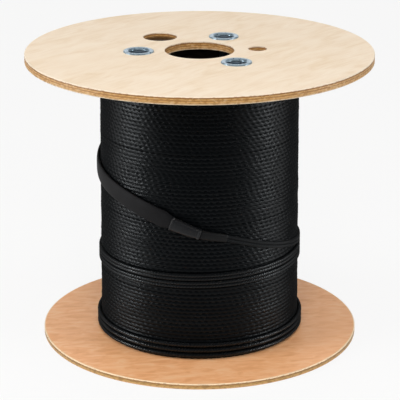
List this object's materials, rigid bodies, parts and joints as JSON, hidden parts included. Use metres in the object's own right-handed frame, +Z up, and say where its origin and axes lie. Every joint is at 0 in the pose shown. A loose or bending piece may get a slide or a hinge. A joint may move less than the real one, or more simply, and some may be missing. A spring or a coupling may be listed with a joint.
{
  "type": "wooden cable drum",
  "caption": "Plywood cable drum standing on its flange, close wound with black cable, with spindle bore, drive hole, clamped tie rods and a sleeved cable end laid round the winding.",
  "frame": {"origin": "middle of the drum's foot, on the floor that it stands on", "axes": "+Z up along the drum's spindle axis, -Y towards the front, where the cable's sleeved end shows, +X to the right"},
  "size_m": [0.3999, 0.4, 0.3416],
  "materials": {
    "plywood_top": "pale sanded birch plywood",
    "plywood_bottom": "warm sanded plywood",
    "barrel_board": "matte wound board",
    "zinc_plate": "bright zinc plating",
    "dark_steel": "dull zinc plated steel",
    "cable_jacket": "black braided jacket with a soft sheen",
    "shrink_tube": "satin black shrink tube",
    "sleeve_weave": "matte black fine weave"
  },
  "bodies": {
    "root": {"top_flange": "plywood_top", "bottom_flange": "plywood_bottom", "barrel": "barrel_board", "cable_winding": "cable_jacket", "tie_rod_1": "dark_steel", "tie_rod_2": "dark_steel", "tie_rod_3": "dark_steel", "top_cup_1": "zinc_plate", "top_cup_2": "zinc_plate", "top_cup_3": "zinc_plate", "bottom_cup_1": "zinc_plate", "bottom_cup_2": "zinc_plate", "bottom_cup_3": "zinc_plate", "top_nut_1": "dark_steel", "top_nut_2": "dark_steel", "top_nut_3": "dark_steel", "bottom_nut_1": "dark_steel", "bottom_nut_2": "dark_steel", "bottom_nut_3": "dark_steel", "lead_strand_a": "cable_jacket", "lead_strand_b": "cable_jacket", "lead_collar": "shrink_tube", "sleeve_collar": "shrink_tube", "end_sleeve": "sleeve_weave"}
  },
  "joints": []
}
